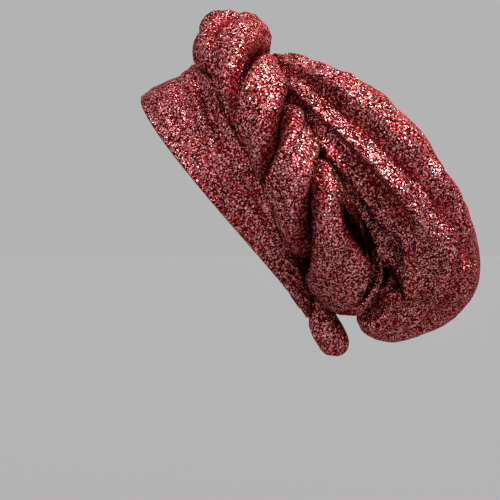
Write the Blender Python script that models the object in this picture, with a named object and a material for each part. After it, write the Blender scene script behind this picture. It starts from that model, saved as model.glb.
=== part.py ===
"""A slouchy turban cap with a smooth front band and a thick two-strand twist laid over the head.

The cap faces -Y, +Z is up and +X is the wearer's left. It stands as it sits on a head that is tipped back
a little. The origin is the middle of the head opening. Lengths below are in millimetres.
"""

import math

import bpy
import numpy as np

MM = 0.001
GAP = 0.3  # Clear space between neighbouring pieces
SEAT_GAP = 0.8  # Clear space under the twist, where flat faces of both sides bend

# Head opening: a long oval from the hairline down to the nape
OPENING_LONG = 210.0
OPENING_WIDE = 148.0
OPENING_TILT = 53.1  # Degrees below the horizontal, towards the nape
OPENING_BOW = (5.5, 3.5)  # Forward bow of the edge at the temples, whole and skewed part

# The twist's centre line: an oval round the head, steeper than the opening
RING_CENTRE = (0.0, 47.9, 32.6)
RING_LONG = 202.0
RING_WIDE = 188.0
RING_TILT = 63.6
RING_BOW = 4.5

# How the twist changes from the top of the head to the nape. Seat is its height above the cap under it,
# lean is how far the cap's surface there turns to the back, and span is how wide a strand is for its depth.
TWIST = (
    # ring_deg, radius, seat, lean_deg, half_turns, span
    (0.0, 27.5, 20.0, 21.0, 0.0, 0.60),
    (9.0, 24.0, 19.5, 20.0, 0.24, 0.60),
    (18.0, 29.0, 19.0, 17.0, 0.5, 0.62),
    (26.0, 25.0, 18.3, 15.0, 0.61, 0.66),
    (40.0, 22.5, 17.2, 11.0, 1.03, 0.76),
    (54.0, 23.0, 17.0, 9.0, 1.5, 0.84),
    (82.0, 22.0, 17.0, 8.0, 2.5, 0.86),
    (107.0, 24.5, 17.5, 12.0, 3.5, 0.86),
    (134.0, 27.0, 18.5, 20.0, 4.0, 0.88),
    (160.0, 25.0, 19.0, 27.0, 4.5, 0.86),
    (180.0, 22.5, 19.0, 30.0, 5.0, 0.86),
)
STRAND_CENTRE = 0.46  # Strand section's middle, as a share of the twist's radius

BAND_WALL = 2.6
BAND_BULGE = 5.0  # Rise of the band over the straight line from its edge to the twist, at the top
ROLL_HEIGHT = 7.0  # Soft roll of spare cloth in front of the twist
ROLL_WIDTH = 7.5
ROLL_REACH = 48.0
ROLL_PLACE = 0.86

CROWN_WALL = 2.2
CROWN_LEAVE = 0.36  # How long it keeps the direction in which it leaves the twist

# The bag from the top down: the place on the ring that each section starts from, half its width, and its
# point at the back on the middle line
CROWN_SECTIONS = (
    # ring_deg, half_width, back_y, back_z
    (10.0, 16.0, 27.0, 105.0),
    (24.0, 44.0, 52.5, 102.5),
    (42.0, 68.0, 85.5, 92.0),
    (60.0, 83.0, 118.0, 75.0),
    (76.0, 90.0, 143.0, 47.5),
    (91.0, 93.0, 161.5, 18.0),
    (104.0, 95.0, 177.5, -8.0),
    (116.0, 95.0, 184.5, -33.0),
    (127.0, 93.0, 185.0, -57.0),
    (137.0, 87.0, 171.5, -77.0),
    (146.0, 78.0, 151.0, -89.0),
    (154.0, 68.0, 130.0, -96.0),
    (160.0, 56.0, 115.0, -89.0),
    (164.0, 46.0, 114.0, -78.0),
    (167.0, 36.0, 118.5, -63.0),
    (169.0, 28.0, 115.0, -45.0),
    (171.0, 20.0, 105.0, -36.0),
    (172.0, 14.0, 95.0, -34.0),
)

# Long folds of the bag. Place is 1 at the twist and 0 at the middle of the back, given at the fold's
# start, middle and end. From and to are shares of the way from the top to the nape.
CROWN_FOLDS = (
    # from_share, to_share, start, middle, end, rise, width
    (0.12, 0.36, 0.78, 0.48, 0.26, 7.0, 0.07),
    (0.13, 0.46, 0.82, 0.55, 0.20, -9.0, 0.06),
    (0.19, 0.50, 0.86, 0.64, 0.42, 8.0, 0.055),
    (0.21, 0.50, 0.86, 0.70, 0.62, -6.0, 0.04),
    (0.25, 0.54, 0.90, 0.76, 0.70, 6.0, 0.045),
    (0.35, 0.55, 0.94, 0.86, 0.75, 5.0, 0.045),
    (0.48, 0.75, 0.92, 0.84, 0.67, -16.0, 0.05),
    (0.44, 0.80, 0.82, 0.69, 0.34, 10.0, 0.07),
    (0.69, 0.82, 0.66, 0.54, 0.40, -12.0, 0.05),
    (0.61, 0.77, 0.66, 0.50, 0.30, -12.0, 0.05),
    (0.71, 0.81, 0.42, 0.33, 0.24, -12.0, 0.06),
    (0.42, 0.72, 0.70, 0.50, 0.26, 7.0, 0.06),
    (0.34, 0.66, 0.42, 0.30, 0.20, -6.0, 0.05),
    (0.46, 0.70, 0.36, 0.22, 0.08, -5.0, 0.045),
)

# Pleats of the band, in front of the twist. Place is 0 at its edge and 1 at the twist.
BAND_PLEATS = (
    # from_deg, to_deg, start, middle, end, rise, width
    (4.0, 78.0, 0.78, 0.62, 0.50, 3.0, 0.07),
    (14.0, 78.0, 0.88, 0.74, 0.72, -2.5, 0.06),
    (10.0, 86.0, 0.95, 0.86, 0.86, 3.0, 0.06),
)

TAIL = (
    # x, y, z, radius
    (21.0, 66.9, -66.0, 1.5),
    (20.0, 69.0, -70.5, 2.2),
    (18.5, 70.4, -77.5, 5.8),
    (17.0, 72.2, -82.5, 8.8),
    (16.0, 74.0, -88.0, 11.0),
    (15.0, 77.5, -95.0, 11.6),
    (13.5, 81.3, -102.0, 11.2),
    (12.5, 83.6, -108.0, 8.0),
    (12.0, 84.3, -111.5, 3.5),
)

RING_STEPS = 82
STRAND_SIDES = 10
BAND_STEPS = 60
BAND_ROWS = 8
BAND_UNDER = 2  # Rows of the band that lie under the twist
CROWN_COLUMNS = 44
CROWN_ROWS = 32
TAIL_SIDES = 10
TAIL_RINGS = 18


def smooth_value(at, known, values, end_slopes=None):
    """A smooth curve through a table's values that doesn't overshoot them."""
    known = np.asarray(known, float)
    values = np.asarray(values, float)
    step = np.diff(known)
    rise = np.diff(values) / step
    slope = np.zeros(len(known))
    same_way = rise[:-1] * rise[1:] > 0
    total = np.where(same_way, rise[:-1] + rise[1:], 1.0)
    slope[1:-1] = np.where(same_way, 2 * rise[:-1] * rise[1:] / total, 0.0)
    if end_slopes == "straight":
        slope[0] = rise[0]
        slope[-1] = rise[-1]
    i = np.clip(np.searchsorted(known, at, side="right") - 1, 0, len(step) - 1)
    t = (at - known[i]) / step[i]
    start = (2 * t**3 - 3 * t**2 + 1) * values[i] + (t**3 - 2 * t**2 + t) * step[i] * slope[i]
    return start + (3 * t**2 - 2 * t**3) * values[i + 1] + (t**3 - t**2) * step[i] * slope[i + 1]


def smooth_row(table, at):
    """A smooth line through the points in a table's rows, at fractional row numbers."""
    table = np.asarray(table, float)
    i = np.clip(np.asarray(at).astype(int), 0, len(table) - 2)
    t = (at - i)[:, None]
    before = table[np.maximum(i - 1, 0)]
    here = table[i]
    there = table[i + 1]
    after = table[np.minimum(i + 2, len(table) - 1)]
    linear = (there - before) * t
    square = (2 * before - 5 * here + 4 * there - after) * t**2
    cube = (3 * here - before - 3 * there + after) * t**3
    return here + 0.5 * (linear + square + cube)


def wrapped(phi):
    """The angle from -pi to pi."""
    return (np.asarray(phi, float) + math.pi) % (2 * math.pi) - math.pi


def twist_size(phi, column):
    """Radius, seat or lean of the twist at the angle phi from the top."""
    rows = np.array(TWIST)
    return smooth_value(np.degrees(np.abs(wrapped(phi))), rows[:, 0], rows[:, column])


def twist_radius(phi):
    return twist_size(phi, 1)


def twist_seat(phi):
    return twist_size(phi, 2)


def twist_turn(phi):
    """Angle of the first strand round the twist, from the back to the outside."""
    rows = np.array(TWIST)
    half_turns = smooth_value(np.degrees(np.abs(phi)), rows[:, 0], rows[:, 4], "straight")
    return math.pi * (0.5 + np.sign(phi) * half_turns)


def twist_span(phi):
    return twist_size(phi, 5)


def down_the_ring(tilt_deg):
    tilt = math.radians(tilt_deg)
    return np.array([0.0, math.cos(tilt), -math.sin(tilt)])


def ring_frame(phi):
    """The twist's centre line, and its outward, backward, seat and along-the-cap directions."""
    phi = wrapped(phi)
    down = down_the_ring(RING_TILT)
    back = np.array([0.0, -down[2], down[1]])
    side = np.array([1.0, 0.0, 0.0])
    long_part = -np.cos(phi)[:, None]
    wide_part = np.sin(phi)[:, None]
    centre = np.array(RING_CENTRE) + long_part * RING_LONG / 2 * down + wide_part * RING_WIDE / 2 * side
    centre = centre - back * (RING_BOW * wide_part**2)
    out = long_part / RING_LONG * down + wide_part / RING_WIDE * side
    out /= np.linalg.norm(out, axis=1)[:, None]
    lean = np.radians(twist_size(phi, 3))[:, None]
    seat = np.cos(lean) * out + np.sin(lean) * back
    along = np.cos(lean) * back - np.sin(lean) * out
    return centre, out, np.broadcast_to(back, out.shape), seat, along


def at_seat(phi, along_mm, seat_mm):
    """Points at these distances along and off the cap's surface, measured from the twist's centre line."""
    centre, _, _, seat, along = ring_frame(phi)
    return centre + along * np.reshape(along_mm, (-1, 1)) + seat * np.reshape(seat_mm, (-1, 1))


def foot_distance(phi):
    """How far from its centre line the twist meets the cap."""
    return np.sqrt(twist_radius(phi) ** 2 - twist_seat(phi) ** 2) + 1.5


def opening_edge(phi):
    """The band's lower edge."""
    phi = wrapped(phi)
    down = down_the_ring(OPENING_TILT)
    forward = np.array([0.0, down[2], -down[1]])
    side = np.array([1.0, 0.0, 0.0])
    bow = OPENING_BOW[0] * np.abs(np.sin(phi)) + OPENING_BOW[1] * np.sin(2 * np.abs(phi))
    long_part = -np.cos(phi)[:, None] * OPENING_LONG / 2
    wide_part = np.sin(phi)[:, None] * OPENING_WIDE / 2
    return long_part * down + wide_part * side + bow[:, None] * forward


def clear_of_twist(points, extra=0.0):
    """Moves points out of the round space that the twist fills, the shorter way."""
    phi = np.linspace(-math.pi, math.pi, 721)[:-1]
    centre, _, _, seat, along = ring_frame(phi)
    flat = points.reshape(-1, 3)
    nearest = np.array([np.argmin(((centre - p) ** 2).sum(1)) for p in flat])
    offset = flat - centre[nearest]
    a = (offset * along[nearest]).sum(1)
    s = (offset * seat[nearest]).sum(1)
    radius = twist_radius(phi[nearest]) + GAP + extra
    down_by = s + twist_seat(phi[nearest]) + SEAT_GAP
    reach = np.maximum(np.hypot(a, s), 1e-6)
    inside = (reach < radius) & (down_by > 0)
    downward = inside & (down_by < np.minimum(3.0, radius - reach))
    outward = inside & ~downward
    grow = np.where(outward, radius / reach - 1, 0.0)
    sink = np.where(downward, down_by, 0.0)
    move = along[nearest] * (a * grow)[:, None] + seat[nearest] * (s * grow - sink)[:, None]
    return (flat + move).reshape(points.shape)


def strand_points(which, steps, sides):
    """Section points of one strand, ring by ring. Its inner side is flat, against the other strand."""
    phi = np.linspace(-math.pi, math.pi, steps + 1)[:-1]
    centre, out, back, seat, _ = ring_frame(phi)
    radius = twist_radius(phi)[:, None]
    floor = twist_seat(phi)[:, None] - 2 * GAP
    turn = (twist_turn(phi) + which * math.pi)[:, None]
    around = np.linspace(0, 2 * math.pi, sides + 1)[None, :-1]
    far = STRAND_CENTRE * radius + (1 - STRAND_CENTRE) * radius * np.cos(around)
    far = np.maximum(far, GAP)
    wide = twist_span(phi)[:, None] * radius * np.sin(around)
    backward = far * np.cos(turn) - wide * np.sin(turn)
    outward = far * np.sin(turn) + wide * np.cos(turn)
    offset = backward[..., None] * back[:, None] + outward[..., None] * out[:, None]
    depth = -(offset * seat[:, None]).sum(2)
    share = np.where(depth > floor, floor / np.maximum(depth, 1e-6), 1.0)
    return centre[:, None] + offset * share[..., None]


def strand_faces(steps, sides):
    """Triangles whose diagonals mirror across the strand, so that the two flat sides match."""
    faces = []
    for i in range(steps):
        j = (i + 1) % steps
        for k in range(sides):
            m = (k + 1) % sides
            a, b, c, d = i * sides + k, i * sides + m, j * sides + m, j * sides + k
            if k < sides // 2:
                faces += [(a, b, c), (a, c, d)]
            else:
                faces += [(a, b, d), (b, c, d)]
    return faces


def band_surface(steps, rows, under):
    """Outer points of the band, from its edge to the seam under the twist, and its outward direction."""
    phi = np.linspace(-math.pi, math.pi, steps + 1)[:-1]
    below = -twist_seat(phi) - SEAT_GAP
    edge = opening_edge(phi)[:, None]
    foot = at_seat(phi, -foot_distance(phi), below)[:, None]
    seam = at_seat(phi, np.full(steps, -GAP), below)[:, None]
    _, out, _, seat, _ = ring_frame(phi)
    outward = (out + seat)[:, None]
    outward = outward / np.linalg.norm(outward, axis=2)[..., None]
    u = np.linspace(0, 1, rows - under)[None, :, None]
    away = np.abs(np.degrees(phi))[:, None, None]
    fade = np.exp(-((away / ROLL_REACH) ** 2))
    width = np.linalg.norm(foot - edge, axis=2)[..., None]
    roll = ROLL_HEIGHT * fade * np.exp(-(((u - ROLL_PLACE) * width / ROLL_WIDTH) ** 2))
    rise = (BAND_BULGE * fade + 1.0) * 4 * u * (1 - u) + roll * np.sin(np.pi * np.minimum(u * 4, 1) / 2)
    for pleat in BAND_PLEATS:
        rise = rise + one_fold(away, u, pleat)
    shown = edge * (1 - u) + foot * u + outward * rise
    t = np.linspace(0, 1, under + 1)[None, 1:, None]
    hidden = foot * (1 - t) + seam * t
    return clear_of_twist(np.concatenate([shown, hidden], axis=1), 1.6), phi


def crown_rows(rows):
    """The place on the ring of each section, and its other sizes."""
    table = np.array(CROWN_SECTIONS)
    sections = smooth_row(table, np.linspace(0, len(table) - 1, rows))
    return np.radians(sections[:, 0]), sections[:, 1:]


def foot_points(phi):
    """Where the bag comes out from under the twist."""
    return at_seat(phi, foot_distance(phi), -twist_seat(phi) - SEAT_GAP)


def crown_base(rows, columns):
    """The bag's smooth shape, row by row, from the left edge round the back to the right edge."""
    start_phi, size = crown_rows(rows)
    start = foot_points(start_phi)
    apex = np.stack([np.zeros(rows), size[:, 1], size[:, 2]], axis=1)
    beside = apex + size[:, :1] * np.array([1.2, 0.0, 0.0])
    _, _, _, seat, along = ring_frame(start_phi)
    rise = (foot_distance(start_phi) / twist_radius(start_phi))[:, None]
    reach = np.linalg.norm(apex - start, axis=1)[:, None] * CROWN_LEAVE
    leave = start + reach * (along * np.sqrt(1 - rise**2) + seat * rise)
    q = np.linspace(1, -1, columns + 1)
    t = (1 - np.abs(q))[None, :, None]
    points = start[:, None] * (1 - t) ** 3 + leave[:, None] * 3 * (1 - t) ** 2 * t
    points = points + beside[:, None] * 3 * (1 - t) * t**2 + apex[:, None] * t**3
    points[..., 0] *= np.sign(q)
    points[0] = foot_points(q * start_phi[0])
    points[-1] = foot_points(math.pi - q * (math.pi - start_phi[-1]))
    return points


def fold_place(t, start, middle, end):
    """A bent line through three places."""
    return start * (1 - t) * (1 - 2 * t) + 4 * middle * t * (1 - t) + end * t * (2 * t - 1)


def one_fold(down, across, fold):
    """Height of one fold over the cloth, where down runs along it and across is measured over it."""
    first, last, start, middle, end, height, width = fold
    t = np.clip((down - first) / (last - first), 0, 1)
    fade = np.sin(math.pi * t) ** 0.6
    return height * fade * np.exp(-(((across - fold_place(t, start, middle, end)) / width) ** 2))


def crown_rise(rows, columns):
    """Height of the bag's folds over its smooth shape."""
    v = np.linspace(0, 1, rows)[:, None]
    q = np.abs(np.linspace(1, -1, columns + 1))[None, :]
    rise = sum((one_fold(v, q, fold) for fold in CROWN_FOLDS), np.zeros((rows, columns + 1)))
    return rise * np.minimum(1, (1 - q) * 6) * np.minimum(1, np.minimum(v, 1 - v) * 10)


def grid_normals(points):
    """Outward unit directions of a grid of points."""
    down = np.gradient(points, axis=0)
    across = np.gradient(points, axis=1)
    normal = np.cross(across, down)
    return -normal / np.maximum(np.linalg.norm(normal, axis=2), 1e-9)[..., None]


def crown_surface(rows, columns):
    base = crown_base(rows, columns)
    rise = crown_rise(rows, columns)
    return clear_of_twist(base + grid_normals(base) * rise[..., None], 2.1)


def grid_faces(rows, columns, closed):
    """Quads of a grid of points, joined round from the last row to the first when closed."""
    faces = []
    for i in range(rows if closed else rows - 1):
        j = (i + 1) % rows
        for k in range(columns - 1):
            faces.append((i * columns + k, j * columns + k, j * columns + k + 1, i * columns + k + 1))
    return faces


def rim_walk(rows, columns):
    """The points round the border of a grid, in order."""
    top = [(0, k) for k in range(columns)]
    right = [(i, columns - 1) for i in range(1, rows)]
    bottom = [(rows - 1, k) for k in range(columns - 2, -1, -1)]
    left = [(i, 0) for i in range(rows - 2, 0, -1)]
    return top + right + bottom + left


def crown_rim_angles(rows, columns):
    """Places on the ring of the bag's border points, in the order of rim_walk."""
    start_phi, _ = crown_rows(rows)
    q = np.linspace(1, -1, columns + 1)
    angles = np.zeros((rows, columns + 1))
    angles[:, 0] = start_phi
    angles[:, -1] = -start_phi
    angles[0] = q * start_phi[0]
    angles[-1] = math.pi - q * (math.pi - start_phi[-1])
    return wrapped(np.array([angles[i, k] for i, k in rim_walk(rows, columns + 1)]))


def tube(route, sides):
    """Points and faces of a closed tube through the rows of a route table."""
    route = np.array(route)
    centre = route[:, :3]
    ahead = np.gradient(centre, axis=0)
    ahead /= np.linalg.norm(ahead, axis=1)[:, None]
    across = np.cross(ahead, [1.0, 0.0, 0.0])
    across /= np.linalg.norm(across, axis=1)[:, None]
    other = np.cross(ahead, across)
    turn = np.linspace(0, 2 * math.pi, sides + 1)[None, :-1, None]
    ring = np.cos(turn) * across[:, None] + np.sin(turn) * other[:, None]
    points = centre[:, None] + ring * route[:, 3][:, None, None]
    faces = []
    for i in range(len(route) - 1):
        for k in range(sides):
            m = (k + 1) % sides
            faces.append((i * sides + k, i * sides + m, (i + 1) * sides + m, (i + 1) * sides + k))
    faces.append(tuple(reversed(range(sides))))
    faces.append(tuple((len(route) - 1) * sides + k for k in range(sides)))
    return points, faces


def mesh_object(name, points_mm, faces):
    mesh = bpy.data.meshes.new(name)
    mesh.from_pydata([tuple(p) for p in np.reshape(points_mm, (-1, 3)) * MM], [], faces)
    obj = bpy.data.objects.new(name, mesh)
    bpy.context.scene.collection.objects.link(obj)
    mesh.shade_smooth()
    return obj


def give_wall(obj, thickness_mm):
    """Turns a sheet into a closed wall that grows inwards."""
    wall = obj.modifiers.new("wall", "SOLIDIFY")
    wall.thickness = thickness_mm * MM
    wall.offset = -1.0
    return obj


def make_strand(which):
    points = strand_points(which, RING_STEPS, STRAND_SIDES)
    return mesh_object(f"twist_strand_{which + 1}", points, strand_faces(RING_STEPS, STRAND_SIDES))


def make_band():
    points, _ = band_surface(BAND_STEPS, BAND_ROWS, BAND_UNDER)
    faces = grid_faces(BAND_STEPS, points.shape[1], closed=True)
    return give_wall(mesh_object("front_band", points, faces), BAND_WALL)


def make_crown():
    """The bag with its skirt, which lies flat under the twist up to the band's seam."""
    points = crown_surface(CROWN_ROWS, CROWN_COLUMNS)
    wide = CROWN_COLUMNS + 1
    faces = grid_faces(CROWN_ROWS, wide, closed=False)
    angles = crown_rim_angles(CROWN_ROWS, CROWN_COLUMNS)
    seam = at_seat(angles, np.full(len(angles), GAP), -twist_seat(angles) - SEAT_GAP)
    border = [i * wide + k for i, k in rim_walk(CROWN_ROWS, wide)]
    first = CROWN_ROWS * wide
    for n in range(len(border)):
        m = (n + 1) % len(border)
        faces.append((border[n], border[m], first + m, first + n))
    crown = mesh_object("crown_bag", np.concatenate([points.reshape(-1, 3), seam]), faces)
    return give_wall(crown, CROWN_WALL)


def make_tail():
    route = smooth_row(np.array(TAIL), np.linspace(0, len(TAIL) - 1, TAIL_RINGS))
    return mesh_object("nape_tail", *tube(route, TAIL_SIDES))


def clear_scene():
    for obj in list(bpy.data.objects):
        bpy.data.objects.remove(obj)


def main():
    clear_scene()
    make_strand(0)
    make_strand(1)
    make_band()
    make_crown()
    make_tail()


if __name__ == "__main__":
    main()
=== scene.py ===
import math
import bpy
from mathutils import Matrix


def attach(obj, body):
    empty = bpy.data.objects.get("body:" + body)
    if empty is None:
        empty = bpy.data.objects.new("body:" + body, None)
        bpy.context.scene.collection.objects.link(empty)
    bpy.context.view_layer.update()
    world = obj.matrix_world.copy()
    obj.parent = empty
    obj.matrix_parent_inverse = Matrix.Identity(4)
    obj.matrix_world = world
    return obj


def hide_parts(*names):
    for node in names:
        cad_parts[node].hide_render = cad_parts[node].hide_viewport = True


bl_info = {
    "name": "Twisted Turban Cap",
    "version": (1, 0, 0),
    "blender": (4, 5, 0),
    "location": "View3D > Sidebar > Turban Cap",
    "description": "A slouchy glitter cloth turban cap with a smooth band, a stuffed twist and a short tail",
    "category": "Object",
}

import bpy
import numpy as np
from bpy.props import FloatProperty, IntProperty, PointerProperty
from mathutils import Vector, noise

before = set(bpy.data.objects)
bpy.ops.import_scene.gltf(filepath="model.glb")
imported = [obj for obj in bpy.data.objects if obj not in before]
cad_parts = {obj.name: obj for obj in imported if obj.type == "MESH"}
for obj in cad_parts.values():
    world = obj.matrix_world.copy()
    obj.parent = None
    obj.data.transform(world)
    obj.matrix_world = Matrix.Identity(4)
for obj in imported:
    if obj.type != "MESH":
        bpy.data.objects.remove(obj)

# Lengths are in millimetres up to make_piece, which turns them into metres.
MM = 0.001
GAP = 0.3  # Clear space between neighbouring pieces
SEAT_GAP = 0.8  # Clear space under the twist, where flat faces of both sides bend

# Head opening: a long oval from the hairline down to the nape
OPENING_LONG = 210.0
OPENING_WIDE = 148.0
OPENING_TILT = 53.1  # Degrees below the horizontal, towards the nape
OPENING_BOW = (5.5, 3.5)  # Forward bow of the edge at the temples, whole and skewed part

# The twist's centre line: an oval round the head, steeper than the opening
RING_CENTRE = (0.0, 47.9, 32.6)
RING_LONG = 202.0
RING_WIDE = 188.0
RING_TILT = 63.6
RING_BOW = 4.5

# How the twist changes from the top of the head to the nape. Seat is its height above the cap under it,
# lean is how far the cap's surface there turns to the back, and span is how wide a strand is for its depth.
TWIST = (
    # ring_deg, radius, seat, lean_deg, half_turns, span
    (0.0, 27.5, 20.0, 21.0, 0.0, 0.60),
    (9.0, 24.0, 19.5, 20.0, 0.24, 0.60),
    (18.0, 29.0, 19.0, 17.0, 0.5, 0.62),
    (26.0, 25.0, 18.3, 15.0, 0.61, 0.66),
    (40.0, 22.5, 17.2, 11.0, 1.03, 0.76),
    (54.0, 23.0, 17.0, 9.0, 1.5, 0.84),
    (82.0, 22.0, 17.0, 8.0, 2.5, 0.86),
    (107.0, 24.5, 17.5, 12.0, 3.5, 0.86),
    (134.0, 27.0, 18.5, 20.0, 4.0, 0.88),
    (160.0, 25.0, 19.0, 27.0, 4.5, 0.86),
    (180.0, 22.5, 19.0, 30.0, 5.0, 0.86),
)
STRAND_CENTRE = 0.46  # Strand section's middle, as a share of the twist's radius

BAND_WALL = 2.6
BAND_BULGE = 5.0  # Rise of the band over the straight line from its edge to the twist, at the top
ROLL_HEIGHT = 7.0  # Soft roll of spare cloth in front of the twist
ROLL_WIDTH = 7.5
ROLL_REACH = 48.0
ROLL_PLACE = 0.86

CROWN_WALL = 2.2
CROWN_LEAVE = 0.36  # How long it keeps the direction in which it leaves the twist

# The bag from the top down: the place on the ring that each section starts from, half its width, and its
# point at the back on the middle line
CROWN_SECTIONS = (
    # ring_deg, half_width, back_y, back_z
    (10.0, 16.0, 27.0, 105.0),
    (24.0, 44.0, 52.5, 102.5),
    (42.0, 68.0, 85.5, 92.0),
    (60.0, 83.0, 118.0, 75.0),
    (76.0, 90.0, 143.0, 47.5),
    (91.0, 93.0, 161.5, 18.0),
    (104.0, 95.0, 177.5, -8.0),
    (116.0, 95.0, 184.5, -33.0),
    (127.0, 93.0, 185.0, -57.0),
    (137.0, 87.0, 171.5, -77.0),
    (146.0, 78.0, 151.0, -89.0),
    (154.0, 68.0, 130.0, -96.0),
    (160.0, 56.0, 115.0, -89.0),
    (164.0, 46.0, 114.0, -78.0),
    (167.0, 36.0, 118.5, -63.0),
    (169.0, 28.0, 115.0, -45.0),
    (171.0, 20.0, 105.0, -36.0),
    (172.0, 14.0, 95.0, -34.0),
)

# Long folds of the bag. Place is 1 at the twist and 0 at the middle of the back, given at the fold's
# start, middle and end. From and to are shares of the way from the top to the nape.
CROWN_FOLDS = (
    # from_share, to_share, start, middle, end, rise, width
    (0.12, 0.36, 0.78, 0.48, 0.26, 7.0, 0.07),
    (0.13, 0.46, 0.82, 0.55, 0.20, -9.0, 0.06),
    (0.19, 0.50, 0.86, 0.64, 0.42, 8.0, 0.055),
    (0.21, 0.50, 0.86, 0.70, 0.62, -6.0, 0.04),
    (0.25, 0.54, 0.90, 0.76, 0.70, 6.0, 0.045),
    (0.35, 0.55, 0.94, 0.86, 0.75, 5.0, 0.045),
    (0.48, 0.75, 0.92, 0.84, 0.67, -16.0, 0.05),
    (0.44, 0.80, 0.82, 0.69, 0.34, 10.0, 0.07),
    (0.69, 0.82, 0.66, 0.54, 0.40, -12.0, 0.05),
    (0.61, 0.77, 0.66, 0.50, 0.30, -12.0, 0.05),
    (0.71, 0.81, 0.42, 0.33, 0.24, -12.0, 0.06),
    (0.42, 0.72, 0.70, 0.50, 0.26, 7.0, 0.06),
    (0.34, 0.66, 0.42, 0.30, 0.20, -3.5, 0.05),
    (0.46, 0.70, 0.36, 0.22, 0.08, -2.5, 0.045),
)

# Pleats of the band, in front of the twist. Place is 0 at its edge and 1 at the twist.
BAND_PLEATS = (
    # from_deg, to_deg, start, middle, end, rise, width
    (4.0, 78.0, 0.78, 0.62, 0.50, 3.0, 0.07),
    (14.0, 78.0, 0.88, 0.74, 0.72, -2.5, 0.06),
    (10.0, 86.0, 0.95, 0.86, 0.86, 3.0, 0.06),
)

TAIL = (
    # x, y, z, radius
    (21.0, 66.9, -66.0, 2.4),
    (20.0, 68.2, -70.5, 4.0),
    (18.5, 70.2, -77.5, 6.6),
    (17.0, 71.8, -82.5, 9.8),
    (16.0, 74.0, -88.0, 11.0),
    (15.0, 77.5, -95.0, 11.6),
    (13.5, 81.3, -102.0, 11.2),
    (12.5, 83.6, -108.0, 8.0),
    (12.0, 84.3, -111.5, 3.5),
)

# Smaller folds that only the cloth shows
FINE_FOLDS = (
    # from_share, to_share, start, middle, end, rise, width
    (0.10, 0.30, 0.70, 0.42, 0.20, 2.4, 0.022),
    (0.12, 0.40, 0.80, 0.50, 0.24, 2.6, 0.020),
    (0.14, 0.42, 0.84, 0.60, 0.34, 2.6, 0.020),
    (0.18, 0.46, 0.86, 0.68, 0.50, 2.4, 0.020),
    (0.24, 0.50, 0.92, 0.80, 0.72, 2.6, 0.020),
    (0.30, 0.56, 0.60, 0.52, 0.46, 2.2, 0.022),
    (0.36, 0.60, 0.54, 0.44, 0.38, -2.6, 0.022),
    (0.40, 0.66, 0.64, 0.56, 0.40, -3.0, 0.024),
    (0.42, 0.70, 0.36, 0.28, 0.16, 2.6, 0.022),
    (0.48, 0.74, 0.28, 0.16, 0.06, -3.0, 0.022),
    (0.52, 0.80, 0.56, 0.44, 0.30, 3.0, 0.024),
    (0.55, 0.82, 0.76, 0.60, 0.42, 3.0, 0.024),
    (0.60, 0.84, 0.84, 0.72, 0.58, -3.0, 0.024),
    (0.60, 0.86, 0.24, 0.14, 0.06, 4.2, 0.026),
    (0.70, 0.92, 0.46, 0.30, 0.16, 4.8, 0.028),
    (0.72, 0.94, 0.70, 0.56, 0.40, -4.4, 0.028),
    (0.72, 0.94, 0.30, 0.16, 0.05, -4.4, 0.026),
)

# Slits and creases where the bag is drawn in beside the twist, on the cap's left side. Each runs straight
# between two points seen from that side, and is deepest and widest half way.
SLITS = (
    # from_y, from_z, to_y, to_z, half_width, depth
    (81.0, 5.0, 104.8, -43.0, 6.6, 13.0),
    (109.0, -52.0, 118.0, -72.0, 3.0, 6.0),
    (115.0, -36.0, 130.5, -74.0, 4.2, 8.0),
    (117.0, -80.5, 134.0, -84.5, 2.6, 5.0),
    (142.0, -56.0, 149.0, -98.0, 3.4, 3.6),
    (130.0, -24.0, 136.0, -50.0, 3.6, 3.2),
    (163.0, -24.0, 176.0, -56.0, 4.6, 3.6),
    (158.0, -60.0, 166.0, -92.0, 3.6, 3.2),
)
SLIT_ON_TWIST = 0.35  # Share of a slit's depth that it has on the twist beside it
SLIT_FULL_SHADE = 12.0  # A slit this deep has the whole painted shade inside
SLIT_SPREAD = 0.6  # Power under 1 that lets the painted shade of a slit reach over its sides
SLIT_FROM = 25.0  # How far to the left of the middle the slits begin
SLIT_OVER = 20.0  # How much further out they have their whole depth
BLUNT = 0.6  # Power under 1 that keeps a fold or slit nearly whole up to its ends

# Wrinkles of the bag that run over its grid: how many lie across and down it, how far they lean towards the
# middle, how soon they change from side to side, and how high they are
BAG_GATHERS = (
    # across, down, lean, sideways, seed, height
    (3.1, 2.4, 1.4, 0.3, 40, 3.0),
    (6.5, 3.4, 2.2, 0.5, 41, 2.4),
    (13.0, 6.5, 3.0, 1.0, 43, 0.8),
)

# Wrinkles of the bag that run any way
BAG_CRUMPLES = (
    # size, seed, height
    (24.0, 45, 1.8),
    (11.0, 47, 0.6),
)
GATHERED_AT = 0.76  # Share of the way to the nape where the bag is gathered most
GATHERED_OVER = 0.10
GATHERED_MORE = 1.2
BAG_RIM_SIDES = 8.0  # How fast the wrinkles grow from the bag's rim, at its sides and ends
BAG_RIM_ENDS = 14.0
CREASE_STEEP = 2.4  # Slope of the sides of a raised crease
CREASE_ROUND = 0.004  # How round its top is

# Wrinkles and lumps of the band: how soon they change round and across it, their lean and their height
WRINKLES_ROUND = 2.2
WRINKLES_ACROSS = 5.0
WRINKLES_LEAN = 0.4
BAND_WRINKLE = 0.9
LUMPS_ROUND = 9.0
LUMPS_ACROSS = 6.0
BAND_LUMP = 0.5
PLAIN_FROM = 0.86  # Share of the band's width where its wrinkles end
PLAIN_OVER = 0.1  # They fade over this share before it
PLAIN_EDGE = 0.06  # They grow over this share from the edge

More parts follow.
